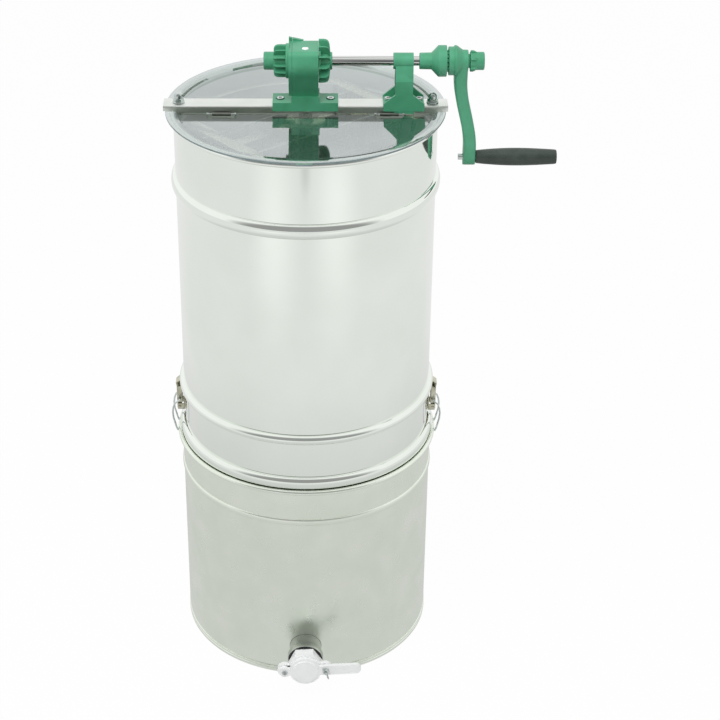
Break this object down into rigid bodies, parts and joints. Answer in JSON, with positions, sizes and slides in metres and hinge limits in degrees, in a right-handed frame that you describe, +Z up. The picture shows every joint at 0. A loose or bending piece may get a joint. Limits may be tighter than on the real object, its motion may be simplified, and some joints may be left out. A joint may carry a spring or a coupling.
{
  "type": "honey extractor",
  "caption": "Hand cranked honey extractor: steel drum on a honey tank with a gate, a bevel gearbox on a cross bar, hinged clear lids, a comb cage and side latches.",
  "frame": {"origin": "centre of the underside of the tank's base", "axes": "+Z up along the drum's axis, +X towards the crank, -Y towards the honey gate"},
  "size_m": [0.5596, 0.4577, 0.9572],
  "materials": {
    "polished_steel": "mirror polished",
    "brushed_steel": "brushed",
    "zinc": "bright zinc plated",
    "nickel": "dull nickel plated",
    "green_plastic": "moulded, lightly grained",
    "gear_plastic": "moulded",
    "white_plastic": "moulded",
    "dark_grip": "moulded, satin",
    "clear_sheet": "clear moulded sheet",
    "bronze": "sintered",
    "seal_rubber": "moulded"
  },
  "bodies": {
    "root": {"tank_shell": "brushed_steel", "tank_floor": "brushed_steel", "gate_socket": "brushed_steel", "gate_seal": "seal_rubber", "gate_body": "white_plastic", "gate_pivot_screw": "zinc", "gate_clamp_screw": "zinc", "drum_shell": "polished_steel", "lower_cross_bar": "brushed_steel", "lower_bearing": "gear_plastic", "top_bar": "brushed_steel", "left_bar_bracket": "brushed_steel", "right_bar_bracket": "brushed_steel", "left_bar_bolt": "zinc", "right_bar_bolt": "zinc", "left_cap_nut": "zinc", "right_cap_nut": "zinc", "left_hinge_strap": "brushed_steel", "right_hinge_strap": "brushed_steel", "left_latch_base": "nickel", "right_latch_base": "nickel", "left_latch_pin": "nickel", "right_latch_pin": "nickel", "gearbox_housing": "green_plastic", "gearbox_left_cover": "green_plastic", "gearbox_right_cover": "green_plastic", "filler_plug": "white_plastic", "cage_bush": "bronze", "left_saddle_bolt": "zinc", "right_saddle_bolt": "zinc", "support_bracket": "green_plastic", "bracket_bush": "gear_plastic", "left_bracket_bolt": "zinc", "right_bracket_bolt": "zinc"},
    "cage": {"cage_shaft": "polished_steel", "cage_gear": "gear_plastic", "cage_top_frame": "brushed_steel", "cage_bottom_frame": "brushed_steel", "cage_post_1": "brushed_steel", "cage_post_2": "brushed_steel", "cage_post_3": "brushed_steel", "cage_post_4": "brushed_steel", "cage_screen_1": "brushed_steel", "cage_screen_2": "brushed_steel"},
    "drive": {"drive_shaft": "polished_steel", "drive_gear": "gear_plastic", "clutch_hub": "green_plastic", "shaft_knob": "green_plastic", "clutch_spring": "zinc"},
    "crank": {"crank_arm": "green_plastic", "crank_pin": "zinc"},
    "grip": {"crank_grip": "dark_grip"},
    "lid_front": {"lid_front": "clear_sheet"},
    "lid_rear": {"lid_rear": "clear_sheet"},
    "left_lever": {"left_latch_lever": "nickel"},
    "left_bail": {"left_latch_bail": "zinc"},
    "right_lever": {"right_latch_lever": "nickel"},
    "right_bail": {"right_latch_bail": "zinc"},
    "gate_shutter": {"gate_shutter": "white_plastic"},
    "wing_nut": {"gate_wing_nut": "zinc"}
  },
  "joints": [
    {"name": "cage_spin", "type": "hinge", "parent": "root", "child": "cage", "pos_m": [0, 0, 0.6], "axis": [0, 0, 1], "continuous": true},
    {"name": "drive_spin", "type": "hinge", "parent": "root", "child": "drive", "pos_m": [0.1, 0, 0.927], "axis": [1, 0, 0], "continuous": true},
    {"name": "crank_slide", "type": "slide", "parent": "drive", "child": "crank", "axis": [1, 0, 0], "range_m": [0, 0.0024], "stiffness_N_per_m": 1500, "springref_m": -0.003},
    {"name": "grip_spin", "type": "hinge", "parent": "crank", "child": "grip", "pos_m": [0.3, 0, 0.784], "axis": [1, 0, 0], "continuous": true},
    {"name": "lid_front_hinge", "type": "hinge", "parent": "root", "child": "lid_front", "pos_m": [0, -0.0208, 0.8564], "axis": [-1, 0, 0], "range_deg": [0, 75]},
    {"name": "lid_rear_hinge", "type": "hinge", "parent": "root", "child": "lid_rear", "pos_m": [0, 0.0208, 0.8564], "axis": [1, 0, 0], "range_deg": [0, 75]},
    {"name": "left_lever_hinge", "type": "hinge", "parent": "root", "child": "left_lever", "pos_m": [-0.1928, 0, 0.374], "axis": [0, -1, 0], "range_deg": [0, 150]},
    {"name": "left_bail_hinge", "type": "hinge", "parent": "left_lever", "child": "left_bail", "pos_m": [-0.1918, 0, 0.3876], "axis": [0, -1, 0], "range_deg": [-150, 0]},
    {"name": "right_lever_hinge", "type": "hinge", "parent": "root", "child": "right_lever", "pos_m": [0.1928, 0, 0.374], "axis": [0, 1, 0], "range_deg": [0, 150]},
    {"name": "right_bail_hinge", "type": "hinge", "parent": "right_lever", "child": "right_bail", "pos_m": [0.1918, 0, 0.3876], "axis": [0, 1, 0], "range_deg": [-150, 0]},
    {"name": "shutter_hinge", "type": "hinge", "parent": "root", "child": "gate_shutter", "pos_m": [-0.03092, -0.245, 0.05034], "axis": [0, -1, 0], "range_deg": [0, 60]},
    {"name": "wing_nut_turn", "type": "hinge", "parent": "root", "child": "wing_nut", "pos_m": [0.03092, -0.25, 0.05466], "axis": [0, -1, 0], "range_deg": [0, 360]}
  ],
  "couplings": [
    {"joint": "drive_spin", "follows": "cage_spin", "ratio": 0.4},
    {"joint": "left_bail_hinge", "follows": "left_lever_hinge", "ratio": -1},
    {"joint": "right_bail_hinge", "follows": "right_lever_hinge", "ratio": -1}
  ]
}
